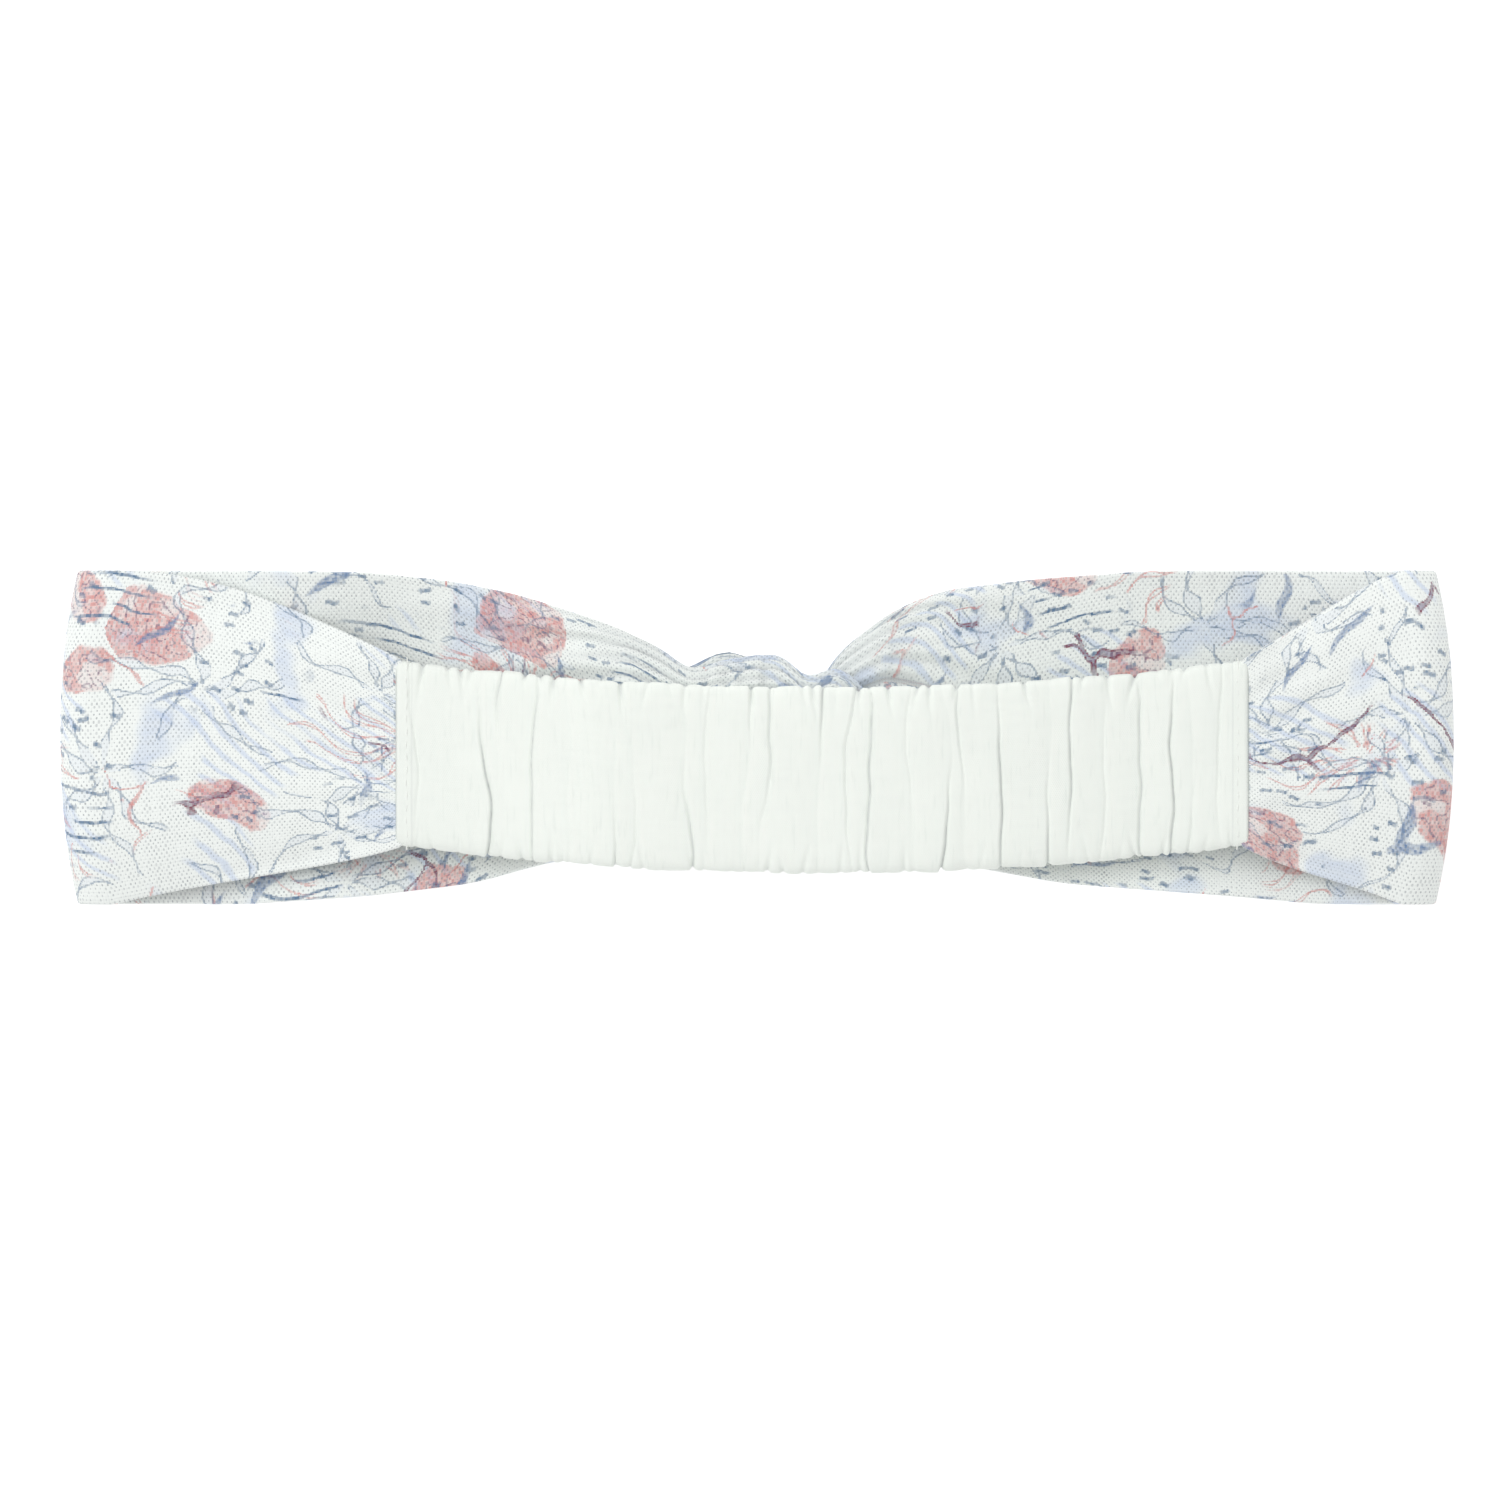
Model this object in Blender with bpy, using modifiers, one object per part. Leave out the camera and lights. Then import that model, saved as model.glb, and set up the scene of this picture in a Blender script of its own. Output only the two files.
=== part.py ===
"""Knotted headband, lying flat with its front down.

Two printed cloth strips, each a sewn tube pressed flat, are looped through each other in a knot at
the front. Each strip is folded in half round the other, so each side of the band is two plies. They
turn at the side folds and come back over the top, where a gathered casing joins their ends over a
flat elastic. X runs along the band, Y across it, Z up from the table. The origin is on the table,
in the middle of the band.
"""

import math

import bmesh
import bpy
from mathutils import Vector

MM = 0.001

# Driving dimensions
FLAT_LENGTH = 200 * MM
BAND_WIDTH = 48 * MM
PLY = 1.0 * MM  # one strip pressed flat: two layers of cloth
GAP = 0.3 * MM  # left between pieces that touch
OPENING_HEIGHT = 5.6 * MM  # between the front and the back, where the head goes

KNOT_Y = -1.5 * MM
KNOT_Z = 6.6 * MM
ARM_Y = 7.0 * MM  # a knot arm's place beside the knot's centre
ARM_Z = 3.5 * MM
ARM_SIZE = (6.6 * MM, 2.75 * MM)  # half width and half thickness of a bunched arm
BEND_SIZE = (6.0 * MM, 2.0 * MM)  # the same where it bends round the other strip
BEND_START = 4.0 * MM  # how far past the knot's centre each loop turns back
ARM_END = 18.5 * MM  # where the arms' inner edges start to fan out
FAN_END = 56.0 * MM  # where both plies have fanned out over each other
FAN_POWER = 2.4  # how fast the fan opens near the knot

# The front's outline on each side: distances from the knot, and how far out its edge is there
UPPER_EDGE = {
    -1: ((9, 10.4), (22, 16.2), (34, 20.0), (44, 22.2), (56, 23.6), (74, 24)),
    1: ((8, 9.8), (20, 18.2), (26, 20.6), (38, 22.2), (56, 23.8), (74, 24)),
}
LOWER_EDGE = {
    -1: ((9, 14.2), (31, 18.6), (40, 20.9), (56, 22.8), (74, 24)),
    1: ((9, 14.2), (32, 18.9), (44, 21.0), (68, 22.8), (82, 24)),
}

CASING_LEFT = -51.2 * MM
CASING_RIGHT = 69.8 * MM
CASING_WIDTH = 27.2 * MM
CASING_WALL = 0.6 * MM
CASING_END_Z = 10.7 * MM
CASING_END_HALF = 3.0 * MM  # half thickness at the ends, where the strips are sewn in
CASING_MID_HALF = 2.4 * MM
CASING_END_Y = -2.2 * MM
CASING_BOW = 3.9 * MM  # how far the casing's middle bows towards -Y

ELASTIC_WIDTH = 24 * MM
ELASTIC_THICK = 0.9 * MM
SEWN_IN = 8.0 * MM  # how far the strips and the elastic overlap inside the casing
SEWN_PLY = 0.8 * MM
SEWN_WIDTH = 23 * MM

THREAD = 0.4 * MM
TACK_THREAD = 0.3 * MM
SEAM_INSET = 1.2 * MM
TACK_INSET = 5.0 * MM

RING_POINTS = 16
SQUARENESS = 1 / math.sin(2 * math.pi / RING_POINTS)  # makes a ring's top and bottom flat

# Heights of the plies, worked out from the sizes above
OUTER_FRONT_Z = PLY / 2
INNER_FRONT_Z = PLY + GAP + PLY / 2
INNER_FOLD_RADIUS = (OPENING_HEIGHT + PLY) / 2
OUTER_FOLD_RADIUS = INNER_FOLD_RADIUS + PLY + GAP
FOLD_Z = INNER_FRONT_Z + INNER_FOLD_RADIUS
FOLD_X = FLAT_LENGTH / 2 - OUTER_FOLD_RADIUS - PLY / 2
KNOT_TOP = KNOT_Z + ARM_Z + ARM_SIZE[1]


def mix(a, b, t):
    return a + (b - a) * t


def ease(t):
    t = min(max(t, 0.0), 1.0)
    return t * t * (3 - 2 * t)


def spread(start, end, count):
    """Evenly spaced values from start to end, both included."""
    return [mix(start, end, i / (count - 1)) for i in range(count)]


# ---- collection, bodies and materials


def clear_scene():
    for obj in list(bpy.data.objects):
        bpy.data.objects.remove(obj, do_unlink=True)


def make_collection(name):
    collection = bpy.data.collections.new(name)
    bpy.context.scene.collection.children.link(collection)
    return collection


def make_body(collection, name):
    """An empty at the knot's centre, which is what each half of the band slides from."""
    body = bpy.data.objects.new(name, None)
    body.location = (0, KNOT_Y, KNOT_Z)
    body.empty_display_size = 10 * MM
    collection.objects.link(body)
    return body


def make_material(name, colour, roughness):
    material = bpy.data.materials.new(name)
    material.use_nodes = True
    shader = material.node_tree.nodes["Principled BSDF"]
    shader.inputs["Base Color"].default_value = (*colour, 1)
    shader.inputs["Roughness"].default_value = roughness
    shader.inputs["Metallic"].default_value = 0
    material.diffuse_color = (*colour, 1)
    return material


def place(obj, collection, body, material):
    """Link a piece whose shape is in world coordinates, and hang it on its body."""
    collection.objects.link(obj)
    obj.parent = body
    obj.location = -body.location
    obj.data.materials.append(material)
    return obj


# ---- shapes


def section(centre, wide, thin, half_width, half_thickness, squareness):
    """A ring of points: an ellipse at squareness 1, flat on top and below at SQUARENESS."""
    ring = []
    for i in range(RING_POINTS):
        angle = 2 * math.pi * i / RING_POINTS
        across = half_width * math.cos(angle)
        up = half_thickness * min(max(math.sin(angle) * squareness, -1), 1)
        ring.append(centre + wide * across + thin * up)
    return ring


def loft(name, rings, capped):
    """A skin through rings of points, closed at both ends if it is capped."""
    shape = bmesh.new()
    rows = [[shape.verts.new(point) for point in ring] for ring in rings]
    for row, following in zip(rows, rows[1:]):
        for i in range(len(row)):
            j = (i + 1) % len(row)
            shape.faces.new((row[i], row[j], following[j], following[i]))
    if capped:
        shape.faces.new(rows[0][::-1])
        shape.faces.new(rows[-1])
    bmesh.ops.recalc_face_normals(shape, faces=shape.faces)
    mesh = bpy.data.meshes.new(name)
    shape.to_mesh(mesh)
    shape.free()
    mesh.shade_smooth()
    mesh.set_sharp_from_angle(angle=math.radians(50))
    return bpy.data.objects.new(name, mesh)


def ribbon_rings(stations):
    """Rings along a path of (centre, wide axis, half width, half thickness, squareness)."""
    rings = []
    for i, (centre, wide, half_width, half_thickness, squareness) in enumerate(stations):
        before = stations[max(i - 1, 0)][0]
        after = stations[min(i + 1, len(stations) - 1)][0]
        thin = (after - before).normalized().cross(wide).normalized()
        rings.append(section(centre, wide, thin, half_width, half_thickness, squareness))
    return rings


def thread(name, points, diameter, cyclic=False):
    """A sewing thread along points: a round curve with filled caps."""
    curve = bpy.data.curves.new(name, "CURVE")
    curve.dimensions = "3D"
    curve.bevel_depth = diameter / 2
    curve.bevel_resolution = 2
    curve.use_fill_caps = not cyclic
    spline = curve.splines.new("POLY")
    spline.points.add(len(points) - 1)
    for target, point in zip(spline.points, points):
        target.co = (*point, 1)
    spline.use_cyclic_u = cyclic
    return bpy.data.objects.new(name, curve)


# ---- the casing's own line, which the elastic and the seams follow


def casing_along(x):
    """-1 at the casing's left end and 1 at its right end."""
    middle = (CASING_LEFT + CASING_RIGHT) / 2
    return (x - middle) / (CASING_RIGHT - middle)


def casing_half(x):
    return mix(CASING_MID_HALF, CASING_END_HALF, ease(abs(casing_along(x)) * 2 - 1))


def casing_centre(x):
    """The casing's middle at x: low at its ends, and up over the knot between them."""
    y = CASING_END_Y - CASING_BOW * (1 - casing_along(x) ** 2)
    end = CASING_LEFT if x < 0 else CASING_RIGHT
    knot_side = math.copysign(ARM_END + 1.5 * MM, x)
    sewn_side = end - math.copysign(SEWN_IN, x)
    level = (x - knot_side) / (sewn_side - knot_side)
    over_knot = KNOT_TOP + 1.5 * GAP + CASING_MID_HALF
    z = mix(over_knot, CASING_END_Z, ease(level))
    return Vector((x, y, z))


# ---- the two strips


def back_stations(side, end_x, outer):
    """From inside the casing out to the side fold, on the back of the band."""
    sandwich = ELASTIC_THICK / 2 + GAP + SEWN_PLY / 2
    fold_z = FOLD_Z + (OUTER_FOLD_RADIUS if outer else INNER_FOLD_RADIUS)
    seam_z = CASING_END_Z + (sandwich if outer else -sandwich)
    inside_x = end_x - SEWN_IN
    wide = Vector((0, side if outer else -side, 0))
    stations = []
    for x in (inside_x, end_x, *spread(end_x + 3 * MM, FOLD_X - 2 * MM, 7)):
        t = max((x - end_x) / (FOLD_X - end_x), 0)
        sewn_y = casing_centre(side * min(x, end_x)).y
        centre = Vector((side * x, mix(sewn_y, 0, ease(t)), mix(seam_z, fold_z, ease(t))))
        half_width = mix(SEWN_WIDTH, BAND_WIDTH, t) / 2
        half_thickness = mix(SEWN_PLY, PLY, ease(t)) / 2
        stations.append((centre, wide, half_width, half_thickness, SQUARENESS))
    return stations


def fold_stations(side, outer):
    """Round the side fold, from the back to the front."""
    radius = OUTER_FOLD_RADIUS if outer else INNER_FOLD_RADIUS
    wide = Vector((0, side if outer else -side, 0))
    stations = []
    for angle in spread(math.pi / 2, -math.pi / 2, 11):
        x = FOLD_X + radius * math.cos(angle)
        centre = Vector((side * x, 0, FOLD_Z + radius * math.sin(angle)))
        stations.append((centre, wide, BAND_WIDTH / 2, PLY / 2, SQUARENESS))
    return stations


def edge_out(edge, x):
    """How far out an edge of the front is, at a distance from the knot."""
    near = edge[0]
    for far in edge:
        if x <= far[0] * MM:
            share = (x - near[0] * MM) / max(far[0] * MM - near[0] * MM, MM)
            return mix(near[1], far[1], share) * MM
        near = far
    return near[1] * MM


def front_stations(side, outer):
    """Along the front from the side fold, narrowing into an arm of the knot."""
    flat_z = OUTER_FRONT_Z if outer else INNER_FRONT_Z
    arm_sign = 1 if outer else -1
    out = side * arm_sign  # 1 if this ply makes the knot's upper arm, -1 if the lower one
    arm_z = KNOT_Z - arm_sign * ARM_Z
    arm_inner_y = KNOT_Y + out * (ARM_Y - ARM_SIZE[0])
    edge, far_edge = UPPER_EDGE[side], LOWER_EDGE[side]
    if out < 0:
        edge, far_edge = far_edge, edge
    wide = Vector((0, out, 0))
    fanning = spread(FAN_END, ARM_END, 12)
    stations = []
    for x in (FOLD_X - 4 * MM, FAN_END + 18 * MM, FAN_END + 9 * MM, *fanning, 14 * MM, 9 * MM):
        opened = 1 - min(max((FAN_END - x) / (FAN_END - ARM_END), 0), 1) ** FAN_POWER
        edge_y = out * edge_out(edge, x)
        inner_y = mix(arm_inner_y, -out * edge_out(far_edge, x), opened)
        centre = Vector((side * x, (edge_y + inner_y) / 2, mix(arm_z, flat_z, opened)))
        half_width = abs(edge_y - inner_y) / 2
        half_thickness = mix(ARM_SIZE[1], PLY / 2, opened)
        stations.append((centre, wide, half_width, half_thickness, mix(1, SQUARENESS, opened)))
    return stations


def bend_stations(side):
    """The loop at the knot: in along one arm, edgewise round the other strip, and back out."""
    arm = Vector((0, side * ARM_Y, -ARM_Z))
    radius = arm.length
    outward = arm.normalized()
    normal = Vector((1, 0, 0)).cross(outward)
    twist = math.atan2(side * ARM_Z, ARM_Y)
    knot = Vector((0, KNOT_Y, KNOT_Z))
    stations = []
    for angle in spread(0, math.pi, 15):
        sine, cosine = math.sin(angle), math.cos(angle)
        turn = Vector((-side * (BEND_START + radius * sine), 0, 0)) + outward * radius * cosine
        radial = Vector((-side * sine, 0, 0)) + outward * cosine
        wide = radial * math.cos(twist * cosine) + normal * math.sin(twist * cosine)
        sizes = [mix(a, b, sine**2) for a, b in zip(ARM_SIZE, BEND_SIZE)]
        stations.append((knot + turn, wide, *sizes, 1))
    return stations


def make_strip(name, side, end_x):
    """One strip, from its outer end in the casing, through the knot, to its inner end."""
    outer = back_stations(side, end_x, True) + fold_stations(side, True)
    outer += front_stations(side, True)
    inner = front_stations(side, False)[::-1] + fold_stations(side, False)[::-1]
    inner += back_stations(side, end_x, False)[::-1]
    return loft(name, ribbon_rings(outer + bend_stations(side) + inner), capped=True)


def make_strip_seam(name, side):
    """The stitches that close the strip into a tube, along the middle of its inner face."""
    z = INNER_FRONT_Z + PLY / 2 + GAP + THREAD / 2
    points = [Vector((side * x, 0, z)) for x in spread(FAN_END, FOLD_X, 12)]
    return thread(name, points, THREAD)


# ---- the casing and what it holds


def make_casing(name):
    rings = []
    for x in spread(CASING_LEFT, CASING_RIGHT, 33):
        half = casing_half(x)
        rings.append(
            section(
                casing_centre(x), Vector((0, 1, 0)), Vector((0, 0, 1)),
                CASING_WIDTH / 2, half, SQUARENESS,
            )
        )
    casing = loft(name, rings, capped=False)
    wall = casing.modifiers.new("Cloth thickness", "SOLIDIFY")
    wall.thickness = CASING_WALL
    wall.offset = -1
    return casing


def make_elastic(name):
    """A flat woven elastic along the casing's middle, its ends between the strips' plies."""
    shape = bmesh.new()
    half = ELASTIC_WIDTH / 2
    rows = []
    for x in spread(CASING_LEFT + GAP, CASING_RIGHT - GAP, 33):
        centre = casing_centre(x)
        rows.append([shape.verts.new(centre + Vector((0, y, 0))) for y in (-half, half)])
    for row, following in zip(rows, rows[1:]):
        shape.faces.new((row[0], following[0], following[1], row[1]))
    mesh = bpy.data.meshes.new(name)
    shape.to_mesh(mesh)
    shape.free()
    elastic = bpy.data.objects.new(name, mesh)
    thickness = elastic.modifiers.new("Elastic thickness", "SOLIDIFY")
    thickness.thickness = ELASTIC_THICK
    thickness.offset = 0
    return elastic


def make_end_seam(name, x):
    """The stitches round a casing end, which close it on the strip."""
    clear = GAP + THREAD / 2
    ring = section(
        casing_centre(x), Vector((0, 1, 0)), Vector((0, 0, 1)),
        CASING_WIDTH / 2 + clear, casing_half(x) + clear, SQUARENESS,
    )
    return thread(name, ring, THREAD, cyclic=True)


def make_tack(name, x):
    """A zigzag round the elastic and the two plies it is sewn between."""
    clear = GAP + TACK_THREAD / 2
    height = ELASTIC_THICK / 2 + GAP + SEWN_PLY + clear
    side_y = ELASTIC_WIDTH / 2 + clear
    steps, swing = 11, 1.0 * MM
    centre = casing_centre(x)
    points = []
    for level in (1, -1):
        start = -level * SEWN_WIDTH / 2
        for i, y in enumerate(spread(start, -start, steps)):
            points.append(centre + Vector((swing * (-1) ** i, y, level * height)))
        for z in (level * clear, -level * clear):
            points.append(centre + Vector((0, level * side_y, z)))
    return thread(name, points, TACK_THREAD, cyclic=True)


def make_casing_seam(name):
    """The stitches that close the casing into a tube, inside it under the elastic."""
    start = CASING_LEFT + SEWN_IN + 1 * MM
    end = CASING_RIGHT - SEWN_IN - 1 * MM
    points = []
    for x in spread(start, end, 33):
        drop = (casing_half(x) - CASING_WALL + ELASTIC_THICK / 2) / 2
        points.append(casing_centre(x) - Vector((0, 0, drop)))
    return thread(name, points, TACK_THREAD)


def main():
    clear_scene()
    parts = make_collection("Knotted headband")
    right = make_body(parts, "right_side_body")
    left = make_body(parts, "left_side_body")

    left_cloth = make_material("left_strip_muslin", (0.74, 0.76, 0.77), 0.92)
    right_cloth = make_material("right_strip_muslin", (0.76, 0.75, 0.74), 0.92)
    casing_cloth = make_material("casing_muslin", (0.86, 0.89, 0.85), 0.93)
    rubber = make_material("elastic_webbing", (0.83, 0.83, 0.80), 0.7)
    cotton = make_material("cotton_thread", (0.88, 0.89, 0.86), 0.6)

    place(make_strip("left_twist_strip", -1, -CASING_LEFT), parts, left, left_cloth)
    place(make_strip("right_twist_strip", 1, CASING_RIGHT), parts, right, right_cloth)
    place(make_strip_seam("left_strip_seam_thread", -1), parts, left, cotton)
    place(make_strip_seam("right_strip_seam_thread", 1), parts, right, cotton)

    place(make_casing("elastic_casing"), parts, right, casing_cloth)
    place(make_elastic("flat_elastic"), parts, right, rubber)
    place(make_casing_seam("casing_seam_thread"), parts, right, cotton)

    for name, body, end, inwards in (
        ("left", left, CASING_LEFT, 1),
        ("right", right, CASING_RIGHT, -1),
    ):
        seam_x = end + inwards * SEAM_INSET
        tack_x = end + inwards * TACK_INSET
        place(make_end_seam(name + "_end_seam_thread", seam_x), parts, body, cotton)
        place(make_tack(name + "_elastic_tack", tack_x), parts, body, cotton)


main()
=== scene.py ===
"""The looks of a knotted headband: printed muslin strips, gathered casing, elastic and stitches.

Shapes and patterns are in millimetres. Places come from the CAD frame: the boxes of its nodes
and the object's own box.
"""

import math

import bpy
import numpy as np
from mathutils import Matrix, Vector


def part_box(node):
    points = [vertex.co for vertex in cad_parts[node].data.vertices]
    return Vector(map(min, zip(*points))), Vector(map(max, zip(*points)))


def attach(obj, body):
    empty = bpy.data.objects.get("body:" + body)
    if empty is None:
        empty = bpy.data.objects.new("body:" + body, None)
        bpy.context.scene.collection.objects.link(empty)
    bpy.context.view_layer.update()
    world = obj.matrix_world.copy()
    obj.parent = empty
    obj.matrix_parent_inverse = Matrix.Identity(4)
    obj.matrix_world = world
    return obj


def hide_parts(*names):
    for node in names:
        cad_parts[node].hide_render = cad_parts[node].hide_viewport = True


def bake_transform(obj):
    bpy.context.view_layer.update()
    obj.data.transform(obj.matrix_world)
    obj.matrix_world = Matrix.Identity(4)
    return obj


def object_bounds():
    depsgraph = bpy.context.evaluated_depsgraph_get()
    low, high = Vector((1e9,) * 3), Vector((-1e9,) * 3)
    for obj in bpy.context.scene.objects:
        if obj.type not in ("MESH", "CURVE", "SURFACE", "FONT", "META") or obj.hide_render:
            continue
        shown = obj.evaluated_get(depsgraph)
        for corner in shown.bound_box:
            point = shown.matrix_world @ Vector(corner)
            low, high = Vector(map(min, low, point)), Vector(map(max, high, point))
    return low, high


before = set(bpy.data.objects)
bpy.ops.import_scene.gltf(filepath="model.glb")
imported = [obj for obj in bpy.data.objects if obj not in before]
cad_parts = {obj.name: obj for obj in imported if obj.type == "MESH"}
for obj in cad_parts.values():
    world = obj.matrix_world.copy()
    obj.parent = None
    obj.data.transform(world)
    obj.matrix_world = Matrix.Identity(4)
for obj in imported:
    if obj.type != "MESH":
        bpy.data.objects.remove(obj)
cad_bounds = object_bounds()

MM = 0.001


def box_mm(node):
    """A CAD node's lowest and highest corners, in millimetres."""
    return [np.array(corner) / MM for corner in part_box(node)]


# ---- places and sizes, read from the CAD frame

LOW, HIGH = (np.array(corner) / MM for corner in cad_bounds)
CASING_LOW, CASING_HIGH = box_mm("elastic_casing")
LEFT_SEAM, RIGHT_SEAM = (
    np.mean(box_mm(name), axis=0) for name in ("left_end_seam_thread", "right_end_seam_thread")
)
KNOT_TOP = box_mm("right_twist_strip")[1][2]
BAND_HALF = (HIGH[1] - LOW[1]) / 2
CASING_END = {-1: -CASING_LOW[0], 1: CASING_HIGH[0]}  # distances from the knot, by side
CASING_HALF = 13.6  # half of its width at its ends, which the CAD's boxes don't give
CASING_END_Y = CASING_HIGH[1] - CASING_HALF
CASING_BOW = CASING_END_Y - CASING_HALF - CASING_LOW[1]  # how far its middle hangs below its ends
CASING_END_Z = LEFT_SEAM[2]
CASING_MID_Z = (KNOT_TOP + HIGH[2]) / 2 + 0.2

# ---- the strips' proportions, as the CAD has them; -1 is the left side and 1 the right one

PLY = 0.9
KNOT = np.array((0.0, -1.5, 6.6))
ARM_Y, ARM_Z = 7.0, 3.5
ARM_SIZE = (6.9, 3.0)
BEND_SIZE = (6.6, 2.5)
BEND_START = 4.0
ARM_START = 5.0
ARM_END = 18.5
FAN_END = 56.0
FAN_POWER = 2.4
UPPER_EDGE = {  # the front's outline: distances from the knot, and how far out its edge is there
    -1: (
        (5, 11.4), (9, 10.4), (13, 12.6), (22, 16.6), (34, 20.5), (44, 22.5), (56, 23.7), (74, 24),
    ),
    1: (
        (4, 10.5), (7.4, 9.0), (14, 14.2), (20, 18.7), (26, 21.2), (38, 22.6), (56, 23.9), (74, 24),
    ),
}
LOWER_EDGE = {
    -1: ((9, 14.2), (31, 18.4), (40, 20.9), (56, 22.8), (74, 24)),
    1: ((9, 14.2), (32, 18.9), (44, 21.0), (68, 22.8), (82, 24)),
}
OUTER_FRONT_Z, INNER_FRONT_Z = 0.5, 1.8
INNER_FOLD_RADIUS, OUTER_FOLD_RADIUS = 3.3, 4.6
FOLD_Z = INNER_FRONT_Z + INNER_FOLD_RADIUS
FOLD_X = HIGH[0] - OUTER_FOLD_RADIUS - PLY / 2
FOLD_BOW = 2.4  # how far the side fold's corners stand back from its middle
SEWN_IN = 8.0  # how far the strips reach into the casing
SEWN_HALF = 10.6  # half their width in there
BACK_WIDENING = 0.92  # the power with which the back widens from the casing to the side fold

# ---- what the cloth does beyond the CAD's plain shapes

PATH_STEP = 0.5
STRIP_STEP = 0.55
CORNER_SOFTNESS = 3.0
EDGE_ROLL = 3.6  # how far the front's free edges roll up
BACK_SINK = 4.2  # how far the back's edges lean down to the front
UPPER_FULLNESS = {-1: 2.7, 1: 0.4}  # how far the back's upper edge bulges between its ends
TUCKED_HALF = 12.0  # how far from the casing's middle the inner ply's hidden edge lies
PLEAT_PITCH = 4.8
PLEAT_DEPTH = 1.3
PLEATED_WIDTH = 0.6  # the share of the cloth's width that still shows where it is pleated
FRONT_FOLD_SHARE = {-1: 1.0, 1: 0.6}
FRONT_FOLDS = (  # place across the cloth, width, height and reach of each fold
    (-19.0, 2.2, 0.9, 17), (-13.5, 2.6, -0.8, 24), (-8.0, 2.0, 0.9, 12), (-2.5, 3.2, 0.8, 30),
    (3.0, 2.2, -0.7, 15), (8.5, 2.8, 1.0, 22), (14.0, 2.2, -0.7, 13), (18.5, 2.4, 0.9, 26),
)
BACK_FOLDS = (  # the same for the back's folds, and how much each one slants
    (-17.0, 2.6, 0.45, 9, -0.10), (-11.0, 2.2, 0.5, 17, 0.20), (-5.5, 1.8, -0.4, 13, 0.35),
    (-1.0, 2.4, 0.5, 24, 0.42), (4.5, 1.9, -0.45, 19, 0.38), (9.0, 2.3, 0.5, 15, 0.22),
    (14.0, 2.0, -0.35, 11, 0.10), (18.5, 2.4, 0.5, 21, -0.12),
)
KNOT_CREASES = (  # place along X, depth and width of each crease
    (1.1, 0.8, 0.4), (-4.6, 0.6, 0.45), (-7.4, 0.5, 0.4), (-2.2, 0.4, 0.4), (6.6, 0.5, 0.5),
)


# ---- small mathematics on arrays


def mix(a, b, t):
    return a + (b - a) * t


def ease(t):
    t = np.clip(t, 0, 1)
    return t * t * (3 - 2 * t)


def unit(vectors):
    return vectors / np.maximum(np.linalg.norm(vectors, axis=-1, keepdims=True), 1e-9)


def bump(x, width):
    return np.exp(-((x / width) ** 2))


# ---- meshes


def grid_object(name, points, cloth, looped=False):
    """A tube's skin from points[row, around], with flat ends, or none if it is looped.

    cloth[row, around] is each point's place along and across the flat cloth, and how much shade
    is painted on it for lying deep in a crease. The materials read it.
    """
    rows, around, _ = points.shape
    index = np.arange(rows * around).reshape(rows, around)
    if looped:
        index = np.concatenate([index, index[:1]])
    beside = np.roll(index, -1, axis=1)
    quads = np.stack([index[:-1], beside[:-1], beside[1:], index[1:]], axis=-1).reshape(-1, 4)
    faces = quads.tolist()
    if not looped:
        faces.append(index[0, ::-1].tolist())
        faces.append(index[-1].tolist())
    mesh = bpy.data.meshes.new(name)
    mesh.from_pydata((points.reshape(-1, 3) * MM).tolist(), [], faces)
    attribute = mesh.attributes.new("cloth", "FLOAT_VECTOR", "POINT")
    attribute.data.foreach_set("vector", cloth.reshape(-1).astype(np.float32))
    mesh.shade_smooth()
    obj = bpy.data.objects.new(name, mesh)
    bpy.context.scene.collection.objects.link(obj)
    face_outwards(obj)
    return obj


def face_outwards(obj):
    """Turn a closed skin's faces over if its volume says that they look inwards."""
    mesh = obj.data
    mesh.calc_loop_triangles()
    points = np.array([v.co for v in mesh.vertices])
    corners = points[np.array([t.vertices for t in mesh.loop_triangles])]
    volume = np.einsum("ij,ij->", corners[:, 0], np.cross(corners[:, 1], corners[:, 2]))
    if volume < 0:
        mesh.flip_normals()


# ---- the strips


def casing_y(x):
    """The height in Y of the casing's middle line, which hangs a little between its ends."""
    middle = (CASING_END[1] - CASING_END[-1]) / 2
    along = (x - middle) / (CASING_END[1] - middle)
    return CASING_END_Y - CASING_BOW * (1 - along**2)


def station(centre, wide, half_width, half_thickness, flatness, place):
    """One row of a strip's path.

    place is how far from the knot it is, and 1 at the band's back, -1 in front, or between.
    """
    return np.array([*centre, *wide, half_width, half_thickness, flatness, *place])


def back_path(side, outer):
    """From inside the casing out to the side fold, over the back of the band."""
    end_x = CASING_END[side]
    fold_z = FOLD_Z + (OUTER_FOLD_RADIUS if outer else INNER_FOLD_RADIUS)
    seam_z = CASING_END_Z + (1.0 if outer else -1.0)
    rows = []
    for x in np.arange(end_x - SEWN_IN, FOLD_X, PATH_STEP):
        t = max((x - end_x) / (FOLD_X - end_x), 0)
        sewn_y = casing_y(side * min(x, end_x))
        y, z = mix(sewn_y, 0, ease(t)), mix(seam_z, fold_z, ease(t))
        inside = ease((end_x - x) / 2.5)
        half_width = mix(mix(CASING_HALF, BAND_HALF, t**BACK_WIDENING), SEWN_HALF, inside)
        fuller = 0.5 * UPPER_FULLNESS[side] * math.sin(math.pi * t)
        wide = (0, side if outer else -side, 0)
        centre = (side * x, y + fuller, z)
        rows.append(station(centre, wide, half_width + fuller, PLY / 2, 1, (x, 1)))
    return rows


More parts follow.
